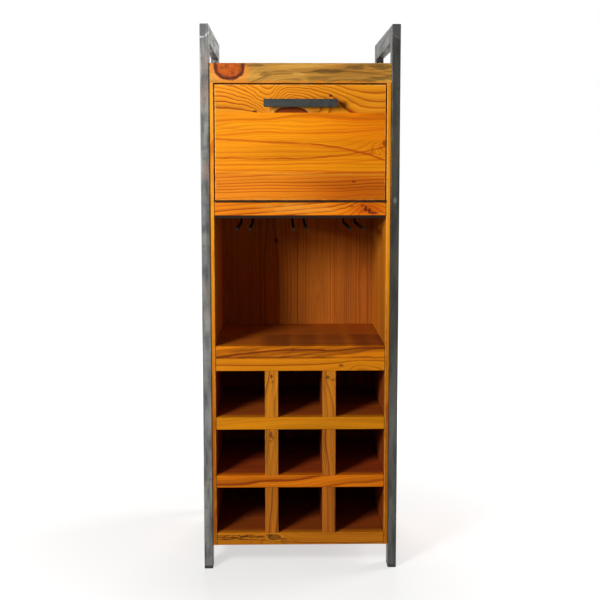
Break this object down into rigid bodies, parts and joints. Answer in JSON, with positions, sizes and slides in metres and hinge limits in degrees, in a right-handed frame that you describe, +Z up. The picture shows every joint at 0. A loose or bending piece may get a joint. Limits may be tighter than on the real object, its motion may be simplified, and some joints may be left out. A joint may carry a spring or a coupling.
{
  "type": "wine cabinet",
  "caption": "Tall narrow wine cabinet: oiled pine carcass between steel tube frames, with a drop-flap cupboard, a stemware bay and a grid of bottle cells.",
  "frame": {"origin": "on the floor, under the middle of the cabinet with its handle", "axes": "+Z up along the posts, +X to the viewer's right, +Y to the back, so the front faces -Y"},
  "size_m": [0.43, 0.442, 1.2],
  "materials": {
    "raw_steel": "raw hot-rolled steel, waxed",
    "foot_plastic": "moulded, matt",
    "zinc_steel": "zinc plated",
    "oiled_pine": "reclaimed pine, oiled, satin",
    "tenon_beech": "plain beech",
    "hinge_brass": "aged brass",
    "catch_plastic": "moulded, satin",
    "black_steel": "black powder coat"
  },
  "bodies": {
    "cabinet": {"left_front_post": "raw_steel", "right_front_post": "raw_steel", "left_rear_post": "raw_steel", "right_rear_post": "raw_steel", "left_top_rail": "raw_steel", "right_top_rail": "raw_steel", "foot_caps": "foot_plastic", "left_frame_lugs": "raw_steel", "right_frame_lugs": "raw_steel", "shelf_tenons": "tenon_beech", "top_tenons": "tenon_beech", "left_side_board": "oiled_pine", "right_side_board": "oiled_pine", "top_board": "oiled_pine", "top_row_left_divider": "oiled_pine", "top_row_right_divider": "oiled_pine", "middle_row_left_divider": "oiled_pine", "middle_row_right_divider": "oiled_pine", "bottom_row_left_divider": "oiled_pine", "bottom_row_right_divider": "oiled_pine", "flap_shelf": "oiled_pine", "counter_board": "oiled_pine", "rack_top_board": "oiled_pine", "upper_bottle_shelf": "oiled_pine", "lower_bottle_shelf": "oiled_pine", "bottom_board": "oiled_pine", "back_board_1": "oiled_pine", "back_board_2": "oiled_pine", "back_board_3": "oiled_pine", "back_board_4": "oiled_pine", "hinge_shelf_leaf": "hinge_brass", "hinge_pin": "hinge_brass", "left_guide_plate": "zinc_steel", "right_guide_plate": "zinc_steel", "catch_magnet": "catch_plastic", "rack_plate": "black_steel", "rack_bars": "black_steel"},
    "flap": {"flap_top_plank": "oiled_pine", "flap_middle_plank": "oiled_pine", "flap_bottom_plank": "oiled_pine", "handle_bar": "raw_steel", "handle_legs": "raw_steel", "handle_screws": "zinc_steel", "hinge_flap_leaf": "hinge_brass", "left_stay_bracket": "zinc_steel", "right_stay_bracket": "zinc_steel", "left_stay_rivet": "zinc_steel", "right_stay_rivet": "zinc_steel", "catch_plate": "zinc_steel"},
    "left_stay_arm": {"left_stay_arm": "zinc_steel"},
    "left_stay_guide": {"left_stay_guide": "zinc_steel"},
    "right_stay_arm": {"right_stay_arm": "zinc_steel"},
    "right_stay_guide": {"right_stay_guide": "zinc_steel"}
  },
  "joints": [
    {"name": "flap_hinge", "type": "hinge", "parent": "cabinet", "child": "flap", "pos_m": [0, -0.1937, 0.8225], "axis": [1, 0, 0], "range_deg": [0, 90]},
    {"name": "left_stay_pivot", "type": "hinge", "parent": "flap", "child": "left_stay_arm", "pos_m": [0, -0.1597, 0.948], "axis": [1, 0, 0], "range_deg": [-45, 0]},
    {"name": "left_guide_pivot", "type": "hinge", "parent": "cabinet", "child": "left_stay_guide", "pos_m": [0, -0.12869, 0.9351], "axis": [1, 0, 0], "range_deg": [0, 45]},
    {"name": "right_stay_pivot", "type": "hinge", "parent": "flap", "child": "right_stay_arm", "pos_m": [0, -0.1597, 0.948], "axis": [1, 0, 0], "range_deg": [-45, 0]},
    {"name": "right_guide_pivot", "type": "hinge", "parent": "cabinet", "child": "right_stay_guide", "pos_m": [0, -0.12869, 0.9351], "axis": [1, 0, 0], "range_deg": [0, 45]}
  ],
  "couplings": [
    {"joint": "left_stay_pivot", "follows": "flap_hinge", "ratio": -0.5},
    {"joint": "left_guide_pivot", "follows": "flap_hinge", "ratio": 0.5},
    {"joint": "right_stay_pivot", "follows": "flap_hinge", "ratio": -0.5},
    {"joint": "right_guide_pivot", "follows": "flap_hinge", "ratio": 0.5}
  ]
}
